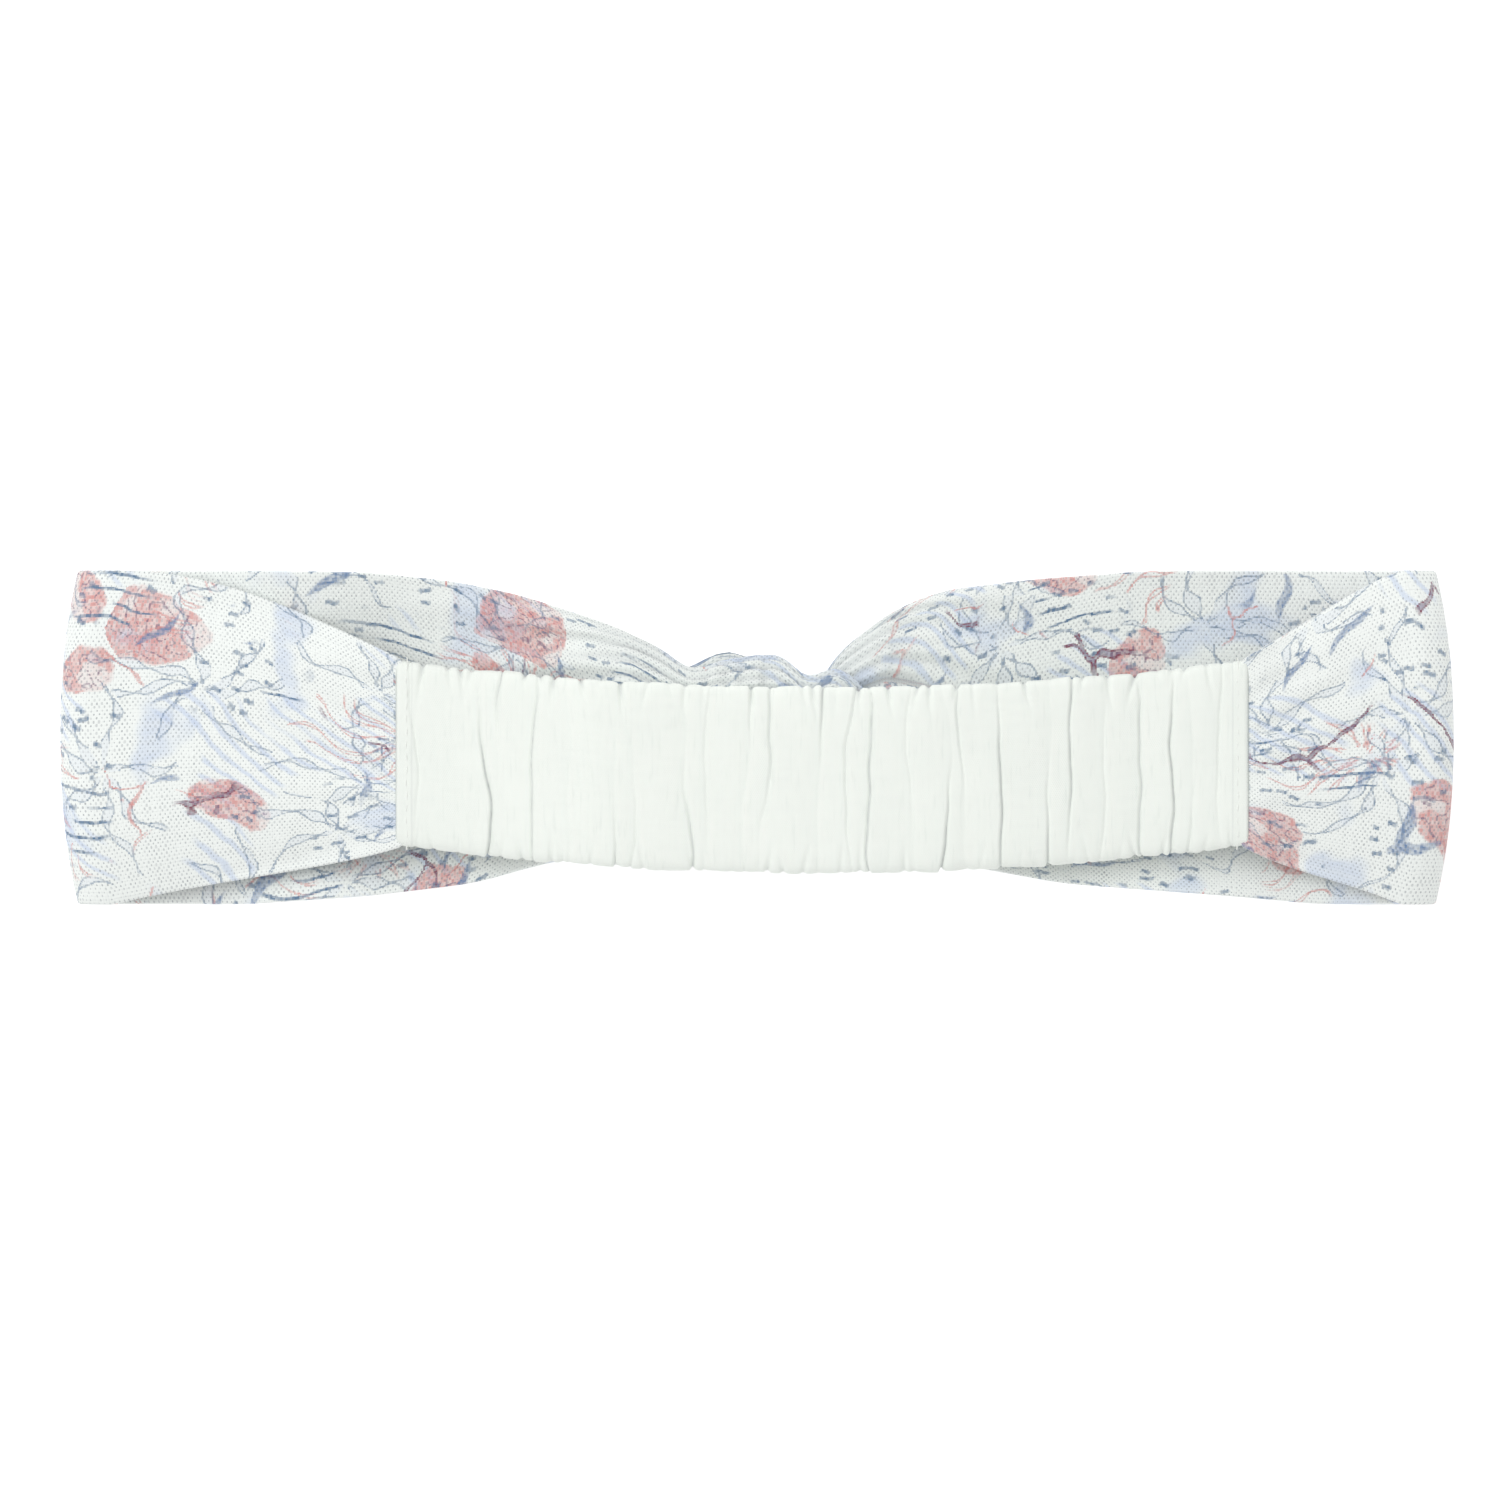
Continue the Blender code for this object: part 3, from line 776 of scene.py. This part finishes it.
class Graph:
    """A material's nodes, built from short calls."""

    def __init__(self, name, roughness, sheen):
        self.material = bpy.data.materials.new(name)
        self.material.use_nodes = True
        self.tree = self.material.node_tree
        self.shader = self.tree.nodes["Principled BSDF"]
        self.shader.inputs["Roughness"].default_value = roughness
        self.shader.inputs["Sheen Weight"].default_value = sheen
        self.shader.inputs["Sheen Roughness"].default_value = 0.5
        self.shader.inputs["Specular IOR Level"].default_value = 0.25

    def node(self, kind, inputs, **settings):
        node = self.tree.nodes.new("ShaderNode" + kind)
        for key, value in settings.items():
            setattr(node, key, value)
        for key, value in inputs.items():
            self.feed(node.inputs[key], value)
        return node

    def feed(self, socket, value):
        if isinstance(value, Wire):
            value = value.socket
        if isinstance(value, bpy.types.NodeSocket):
            self.tree.links.new(value, socket)
        else:
            socket.default_value = value

    def math(self, operation, a, b=0.0):
        node = self.node("Math", {0: a, 1: b}, operation=operation)
        return Wire(self, node.outputs[0])

    def cloth(self):
        """The point's place along and across the flat cloth, and how much shade is painted on it
        for lying deep in a crease.
        """
        node = self.node("Attribute", {}, attribute_name="cloth", attribute_type="GEOMETRY")
        split = self.node("SeparateXYZ", {0: node.outputs["Vector"]})
        return [Wire(self, split.outputs[k]) for k in range(3)]

    def vector(self, x, y, z=0.0):
        return self.node("CombineXYZ", {0: x, 1: y, 2: z}).outputs[0]

    def noise(self, x, y, size, seed=0.0, detail=1.0):
        """Soft noise from 0 to 1 with features of about size millimetres."""
        inputs = {"Vector": self.vector(x, y, seed), "Scale": 1 / size, "Detail": detail}
        return Wire(self, self.node("TexNoise", inputs).outputs["Fac"])

    def random(self, x, y):
        """A random number from 0 to 1 for each pair of whole numbers."""
        node = self.node("TexWhiteNoise", {"Vector": self.vector(x, y)}, noise_dimensions="2D")
        return Wire(self, node.outputs["Value"])

    def step(self, value, low, high):
        """0 below low, 1 above high, and smooth between; low above high turns it round."""
        inputs = {"Value": value, "From Min": low, "From Max": high}
        node = self.node("MapRange", inputs, interpolation_type="SMOOTHSTEP")
        return Wire(self, node.outputs["Result"])

    def cells(self, x, y, size, seed):
        """Scattered centres: the place relative to the nearest, and three random numbers for it."""
        x, y = x + seed * 37.1, y + seed * 53.7
        inputs = {"Vector": self.vector(x, y), "Scale": 1 / size}
        node = self.node("TexVoronoi", inputs, voronoi_dimensions="2D")
        centre = self.node("SeparateXYZ", {0: node.outputs["Position"]})
        randoms = self.node("SeparateColor", {0: node.outputs["Color"]})
        local = (x - Wire(self, centre.outputs[0]), y - Wire(self, centre.outputs[1]))
        return local, [Wire(self, randoms.outputs[k]) for k in range(3)]

    def turn(self, x, y, angle):
        """x and y turned by an angle."""
        cosine, sine = self.math("COSINE", angle), self.math("SINE", angle)
        return x * cosine + y * sine, y * cosine - x * sine

    def paint(self, under, ink, coverage):
        """A colour laid over another where coverage is above 0."""
        node = self.tree.nodes.new("ShaderNodeMix")
        node.data_type = "RGBA"
        self.feed(node.inputs["Factor"], coverage)
        self.feed(node.inputs[6], under)
        self.feed(node.inputs[7], ink)
        return node.outputs[2]


def colour(red, green, blue):
    """A colour given as it looks on a screen, from 0 to 255, as the shader wants it.

    The formula is for channels above 10, as all of this file's are.
    """
    return (*(((c / 255 + 0.055) / 1.055) ** 2.4 for c in (red, green, blue)), 1)


CLOTH_WHITE = colour(243, 247, 244)
# painted shade, in the gaps between threads and in the pleats' valleys
GAP_SHADE = colour(150, 155, 160)
# painted shade for the casing's creases, tucks and hem line
CREASE_SHADE_GREY = colour(206, 210, 209)
SLATE = colour(98, 126, 156)
LEAF_BLUE = colour(110, 136, 174)
PALE_BLUE = colour(194, 209, 236)
CORAL = colour(214, 142, 138)
WINE = colour(132, 58, 74)
MAUVE = colour(134, 112, 134)
INK_STEP = (0.30, 0.26)  # along and across, how far apart the threads are that take up the ink


def scribble(g, x, y, size, seed, lines, weight):
    """Thin wandering pencil lines: the level lines of a soft noise."""
    levels = g.math("FRACT", g.noise(x, y, size, seed, 2.0) * lines)
    slope = weight * lines / size
    return g.step(abs(levels - 0.5), slope, slope * 0.3)


def tendrils(g, x, y, size, seed, count, reach, width):
    """Drawn weed: wavy double lines that fan out from scattered roots, and what they enclose."""
    (dx, dy), (spin, bend, choice) = g.cells(x, y, size, seed)
    r = g.math("SQRT", dx * dx + dy * dy)
    sway = g.math("SINE", r * 0.7 + spin * 20.0) * 0.07
    sway = sway + g.math("SINE", r * 0.3 + bend * 9.0) * 0.16
    angle = g.math("ARCTAN2", dy, dx) + r * (bend - 0.5) * 0.05 + spin * 6.283 + sway
    turnwise = angle * (count / (2 * math.pi))
    which = g.math("FLOOR", turnwise)
    chance = g.math("FRACT", which * 0.381 + choice * 7.0)
    lateral = (turnwise - which - 0.5) * (2 * math.pi / count) * r
    far = reach * (0.6 + 0.8 * g.math("FRACT", which * 0.618 + choice * 5.0))
    beads = 0.55 + 0.45 * g.math("SINE", r * 1.15 + chance * 30.0)
    body = g.math("SQRT", g.math("MAXIMUM", 1.0 - r / far, 0.0)) * width * beads
    shown = g.step(r, far, far - 0.8) * g.step(r, 0.3, 1.2) * g.step(chance, 0.42, 0.46)
    line = g.step(abs(abs(lateral) - body), 0.21, 0.05) * shown
    return line, g.step(abs(lateral), body, body - 0.3) * shown


def dashes(g, x, y, size, seed):
    """Short, slightly wavy brush marks, all lying much the same way."""
    (dx, dy), (turn, long, keep) = g.cells(x, y, size, seed)
    dx, dy = g.turn(dx, dy, (turn - 0.5) * 0.9 + 0.15)
    dy = dy + g.math("SINE", dx * 4.0) * 0.14
    half = 0.5 + long * 0.4
    mark = g.step(abs(dx), half + 0.2, half - 0.1) * g.step(abs(dy), 0.48, 0.22)
    return mark * g.step(keep, 0.25, 0.3)


def blades(g, x, y, size, seed):
    """Broad curved leaves, brushed in."""
    (dx, dy), (turn, long, keep) = g.cells(x, y, size, seed)
    dx, dy = g.turn(dx, dy, 0.9 + (turn - 0.5) * 1.4)
    dy = dy + dx * dx * 0.045 + g.math("SINE", dx * 0.9) * 0.35
    half = g.math("MAXIMUM", 1.0 - dx * dx / (14.0 + long * 20), 0.0) * (0.55 + long * 0.65)
    fill = g.step(abs(dy), half, half - 0.4)
    hatch = 0.86 + 0.14 * g.math("SINE", (dy + dx * 0.6) * 7.0)
    return fill * hatch * g.step(keep, 0.38, 0.42)


def blots(g, x, y, size, seed, radius):
    """Round blots with ragged edges, lighter in patches, and a scribble inside each."""
    (dx, dy), (grow, squash, keep) = g.cells(x, y, size, seed)
    dx, dy = g.turn(dx, dy, squash * 3.0)
    dy = dy * (1.15 + squash * 0.6)
    ragged = (g.noise(x, y, 4.5, seed + 4, 3.0) - 0.5) * 4.5
    r = g.math("SQRT", dx * dx + dy * dy) + ragged
    edge = radius * (0.45 + grow * 0.75)
    wash = 0.55 + 0.45 * g.noise(x, y * 2.0, 5.0, seed + 6, 2.0)
    fill = g.step(r, edge, edge - 0.6) * g.step(keep, 0.22, 0.25)
    hollow = 1.0 - 0.6 * g.step(g.noise(x, y, 6.0, seed + 3, 2.0), 0.52, 0.56)
    inner = scribble(g, x, y, 7.0, seed + 9, 9.0, 0.07) * g.step(r, edge - 0.4, edge - 1.4)
    return fill * wash * hollow, inner * fill


def stems(g, x, y, size, seed, width):
    """Branching stems: the lines between scattered cells, broken off here and there."""
    wx = x + (g.noise(x, y, 9.0, seed, 2.0) - 0.5) * 11.0
    wy = y + (g.noise(x, y, 9.0, seed + 5, 2.0) - 0.5) * 11.0
    inputs = {"Vector": g.vector(wx, wy, 0.0), "Scale": 1 / size}
    node = g.node("TexVoronoi", inputs, voronoi_dimensions="2D", feature="DISTANCE_TO_EDGE")
    from_line = Wire(g, node.outputs["Distance"]) * size
    thickness = width * (0.3 + 1.4 * g.noise(x, y, 6.0, seed + 2))
    body = g.step(from_line, thickness, thickness * 0.55)
    rim = body - g.step(from_line, thickness * 0.6, thickness * 0.3)
    return body, rim


def region(g, x, y, size, seed, share):
    """1 in patches that cover about a share of the cloth, and 0 between them."""
    level = 0.5 + 0.27 * (0.5 - share)
    return g.step(g.noise(x, y, size, seed, 1.0), level, level + 0.03)


def long_strokes(g, x, y, seed):
    """Long brushed lines one under another, thick and thin, that break off and start again."""
    y = y + g.math("SINE", x / 6.5) * 0.5 + (g.noise(x, y, 14.0, seed) - 0.5) * 5.0
    row = y / 2.2
    in_row = abs(row - g.math("FLOOR", row) - 0.5)
    broken = g.step(g.noise(x / 3.0, g.math("FLOOR", row) * 7.0, 4.0, seed + 2), 0.40, 0.46)
    weight = 0.05 + 0.16 * g.noise(x, y, 6.0, seed + 1)
    return g.step(in_row, weight, weight * 0.4) * broken


def hatching(g, x, y, pitch, angle, weight):
    """Straight pencil hatching."""
    along = x * math.cos(angle) + y * math.sin(angle)
    wave = along + (g.noise(x, y, 9.0, 71.0) - 0.5) * 1.6
    return g.step(g.math("SINE", wave * (2 * math.pi / pitch)), 1.0 - weight, 1.0)


def by_hand(g, x, y, seed):
    """x and y with the small and the slow unsteadiness of a drawn line."""
    wobble_x = x + (g.noise(x, y, 2.4, seed + 11, 2.0) - 0.5) * 0.7
    wobble_y = y + (g.noise(x, y, 2.4, seed + 12, 2.0) - 0.5) * 0.7
    x = wobble_x + (g.noise(x, y, 18.0, seed + 13) - 0.5) * 6.0
    y = wobble_y + (g.noise(x, y, 18.0, seed + 14) - 0.5) * 6.0
    return x, y


def washes(g, x, y, seed, taken):
    """The print's pale layers on the white cloth, and its coral blots; taken is as in printed."""
    wash = g.step(g.noise(x, y, 13.0, seed + 1, 2.0), 0.56, 0.66)
    wash = wash * (0.25 + 0.45 * g.noise(x, y * 3.0, 4.0, seed + 22))
    ink = g.paint(CLOTH_WHITE, PALE_BLUE, wash)
    near_wash = g.step(g.noise(x + 6.0, y, 18.0, seed + 23), 0.55, 0.60)
    ink = g.paint(ink, PALE_BLUE, hatching(g, x, y, 2.3, 0.85, 0.9) * near_wash * 0.55)

    blot, inner = blots(g, x, y, 31.0, seed + 7, 8.0)
    ink = g.paint(ink, CORAL, blot * taken * 0.8)
    return g.paint(ink, MAUVE, inner * taken * 0.7)


def printed(g, x, y, seed, taken):
    """The cloth's printed drawing, as a colour; taken is how much ink each thread took up."""
    pencil = taken * (0.7 + 0.5 * g.noise(x, y, 0.5, seed + 21, 1.0))
    x, y = by_hand(g, x, y, seed)
    ink = washes(g, x, y, seed, taken)

    fan_line, _ = tendrils(g, x, y, 34.0, seed + 5, 31, 15.0, 0.55)
    in_fan = region(g, x, y, 26.0, seed + 6, 0.45)
    ink = g.paint(ink, CORAL, fan_line * in_fan * pencil * 0.65)

    strokes = long_strokes(g, x, y, seed + 3) * region(g, x, y, 28.0, seed + 4, 0.20)
    ink = g.paint(ink, SLATE, strokes * pencil * 0.9)

    weed_line, weed_fill = tendrils(g, x, y, 25.0, seed + 2, 13, 17.0, 1.1)
    ink = g.paint(ink, PALE_BLUE, weed_fill * 0.16)
    ink = g.paint(ink, SLATE, weed_line * pencil * 0.62)

    marks = dashes(g, x, y, 3.2, seed + 8) * region(g, x, y, 17.0, seed + 9, 0.55)
    ink = g.paint(ink, SLATE, marks * pencil * 0.72)

    leaves = blades(g, x, y, 12.0, seed + 10) * region(g, x, y, 22.0, seed + 15, 0.80)
    ink = g.paint(ink, LEAF_BLUE, leaves * pencil * 0.80)

    stem, rim = stems(g, x, y, 19.0, seed + 16, 0.42)
    kept = region(g, x, y, 17.0, seed + 17, 0.10)
    ink = g.paint(ink, MAUVE, stem * kept * taken * 0.75)
    ink = g.paint(ink, WINE, rim * kept * taken * 0.8)
    branch, _ = stems(g, x, y, 15.0, seed + 19, 0.26)
    branch = branch * region(g, x, y, 13.0, seed + 20, 0.12)
    return g.paint(ink, CORAL, branch * pencil * 0.7)


def weave(g, x, y, along, across, openness):
    """A plain weave: how high its threads stand, and where shade is painted between them.

    It also gives a random number for each crossing, as the threads take up ink unevenly.
    """
    x = x + (g.noise(x, y, 2.2, 31.0, 2.0) - 0.5) * 0.36
    y = y + (g.noise(x, y, 2.2, 32.0, 2.0) - 0.5) * 0.36
    u, v = x / along, y / across
    holes = g.math("COSINE", u * math.pi) * g.math("COSINE", v * math.pi)
    crossing = g.random(g.math("ROUND", u), g.math("ROUND", v))
    end, pick = g.random(g.math("ROUND", u), 0.0), g.random(0.0, g.math("ROUND", v))
    slub = g.noise(x, y * 9.0, 6.0, 33.0) + g.noise(x * 9.0, y, 6.0, 34.0) - 1.0
    level = openness + slub * 1.1 + (crossing - 0.5) * 0.5
    pinholes = g.step(holes, level, level + 0.35) * (0.5 + crossing * 0.8)
    beside_end = g.step(abs(g.math("SINE", u * math.pi)), 0.45, 0.1) * end
    beside_pick = g.step(abs(g.math("SINE", v * math.pi)), 0.40, 0.1) * pick
    between = g.math("MAXIMUM", beside_end, beside_pick) * (0.35 + slub)
    gaps = g.math("MAXIMUM", pinholes, between * 0.55)
    height = 0.5 - holes * 0.5 + slub * 0.3
    return height, gaps, crossing


def finish_cloth(g, colour_socket, height, gaps, strength, gap_share):
    """Connect a cloth's colour, with shade painted into the gaps between its threads, and its
    threads' relief to its shader.
    """
    # painted shade in the gaps between the threads
    gap_shaded = g.paint(colour_socket, GAP_SHADE, gaps * gap_share)
    g.feed(g.shader.inputs["Base Color"], gap_shaded)
    relief = g.node("Bump", {"Height": height, "Strength": strength, "Distance": 0.00012})
    g.feed(g.shader.inputs["Normal"], relief.outputs[0])
    return g.material


def muslin_print(name, seed):
    """Printed cotton muslin, with painted shade deep in the knot's pleats and over the bunched
    knot.
    """
    g = Graph(name, 0.92, 0.15)
    x, y, bunched = g.cloth()
    height, gaps, crossing = weave(g, x, y, 0.37, 0.53, 0.40)
    on_thread_x = mix(x, g.math("SNAP", x, INK_STEP[0]), 0.7)
    on_thread_y = mix(y, g.math("SNAP", y, INK_STEP[1]), 0.7)
    ink = printed(g, on_thread_x, on_thread_y, seed, 0.62 + 0.7 * crossing)
    # painted shade in the knot's pleats and over the bunched knot
    ink = g.paint(ink, GAP_SHADE, bunched * 0.26)
    return finish_cloth(g, ink, height, gaps, 0.5, 0.60)


def white_muslin(name):
    """The casing's finer white muslin, faintly streaked, with painted shade in its creases, tucks
    and hem line.
    """
    g = Graph(name, 0.93, 0.12)
    x, y, crease = g.cloth()
    cloud = g.noise(x, y, 9.0, 51.0, 2.0)
    white = g.paint(colour(240, 245, 239), colour(245, 249, 243), cloud)
    streak = g.step(g.noise(x * 5.0, y, 4.0, 52.0, 2.0), 0.55, 0.75)
    white = g.paint(white, colour(230, 236, 230), streak * 0.5)
    # painted shade in the creases, the tucks and along the hem
    white = g.paint(white, CREASE_SHADE_GREY, g.step(crease, 0.25, 0.95) * 0.7)
    height, gaps, _ = weave(g, x, y, 0.22, 0.26, 0.2)
    return finish_cloth(g, white, height, gaps, 0.3, 0.12)


def elastic_webbing(name):
    """Woven elastic, with its rubber ribs a shade darker."""
    g = Graph(name, 0.75, 0.05)
    x, y, _ = g.cloth()
    rubber = g.step(abs(g.math("SINE", y * (math.pi / ELASTIC_RIB))), 0.75, 0.95)
    picks = abs(g.math("SINE", x * (math.pi / 0.6)))
    base = g.paint(colour(238, 238, 232), colour(214, 213, 205), rubber * 0.6)
    height, gaps, _ = weave(g, x, y, 0.6, 0.45, 0.3)
    return finish_cloth(g, base, height + picks * 0.3, gaps, 0.6, 0.5)


def sewing_thread(name):
    """White cotton thread, with its twist, and painted shade in the twist's grooves."""
    g = Graph(name, 0.6, 0.1)
    x, y, _ = g.cloth()
    twist = abs(g.math("SINE", (x + y * 1.4) * (math.pi / 0.42)))
    # painted shade in the grooves between the plies, lighter on their crowns
    base = g.paint(colour(232, 236, 230), colour(249, 251, 247), twist)
    return finish_cloth(g, base, twist, g.step(twist, 0.2, 0.05), 0.3, 0.15)


# ---- stage, light and camera


def make_floor():
    """A plain white floor, just under the band."""
    far = 3.0
    corners = [(-far, -far, 0), (far, -far, 0), (far, far, 0), (-far, far, 0)]
    mesh = bpy.data.meshes.new("floor")
    mesh.from_pydata(corners, [], [(0, 1, 2, 3)])
    floor = bpy.data.objects.new("floor", mesh)
    bpy.context.scene.collection.objects.link(floor)
    floor.location.z = -0.0002
    material = bpy.data.materials.new("floor_white")
    material.use_nodes = True
    shader = material.node_tree.nodes["Principled BSDF"]
    shader.inputs["Base Color"].default_value = (0.95, 0.95, 0.95, 1)
    shader.inputs["Roughness"].default_value = 0.9
    shader.inputs["Emission Color"].default_value = (1, 1, 1, 1)
    shader.inputs["Emission Strength"].default_value = 0.42
    mesh.materials.append(material)


def make_light(name, location, size, power):
    """A square light aimed at the origin."""
    data = bpy.data.lights.new(name, "AREA")
    data.size, data.energy = size, power
    light = bpy.data.objects.new(name, data)
    light.location = location
    light.rotation_mode = "QUATERNION"
    light.rotation_quaternion = (-light.location).to_track_quat("-Z", "Y")
    bpy.context.scene.collection.objects.link(light)


def make_world(strength):
    world = bpy.data.worlds.new("studio")
    world.use_nodes = True
    background = world.node_tree.nodes["Background"]
    background.inputs["Color"].default_value = (1, 1, 1, 1)
    background.inputs["Strength"].default_value = strength
    bpy.context.scene.world = world


def make_camera():
    """Straight above the band, far off through a long lens."""
    frame_width, height = 0.2148, 1.3
    data = bpy.data.cameras.new("camera")
    data.sensor_width = 36
    data.lens = data.sensor_width * height / frame_width
    data.clip_start, data.clip_end = 0.05, 20
    camera = bpy.data.objects.new("camera", data)
    camera.location = (-0.0010, -0.0018, height + 0.008)
    bpy.context.scene.collection.objects.link(camera)
    bpy.context.scene.camera = camera


# ---- putting it together


THREADS = (  # a maker of thread pieces, and how its node and its piece are called on each side
    (make_end_seam, "_end_seam_thread", "_end_seam_thread_stitches"),
    (make_strip_seam, "_strip_seam_thread", "_strip_seam_thread_stitches"),
    (make_tack, "_elastic_tack", "_tack_zigzag"),
)


def dress(obj, material):
    obj.data.materials.append(material)
    return obj


def make_side(word, side, seed, cotton):
    """One strip and its threads, which move with one body."""
    body = word + "_side"
    strip, length = make_strip(word + "_strip_cloth", side)
    dress(strip, muslin_print(word + "_printed_muslin", seed))
    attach(strip, body)
    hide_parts(word + "_twist_strip")
    for maker, node, name in THREADS:
        line = dress(maker(word + name, word + node), cotton)
        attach(line, body)
        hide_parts(word + node)


def make_middle(cotton):
    """The casing, the elastic and their seam, which lie between the two bodies and are attached to
    neither.
    """
    casing, length = make_casing("casing_cloth")
    dress(casing, white_muslin("white_muslin"))
    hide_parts("elastic_casing")
    elastic = make_elastic("elastic_webbing", "flat_elastic")
    dress(elastic, elastic_webbing("elastic_webbing"))
    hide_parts("flat_elastic")
    seam = make_casing_seam("casing_seam_stitches", "casing_seam_thread")
    dress(seam, cotton)
    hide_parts("casing_seam_thread")
    for piece in (casing, elastic, seam):
        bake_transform(piece)


def main():
    bpy.context.scene.view_settings.view_transform = "Standard"
    make_floor()
    make_world(0.58)
    make_light("soft_box", (-0.35, 0.35, 1.3), 1.2, 11)
    make_camera()
    cotton = sewing_thread("cotton_thread")
    make_side("left", -1, 21.0, cotton)
    make_side("right", 1, 26.0, cotton)
    make_middle(cotton)


main()
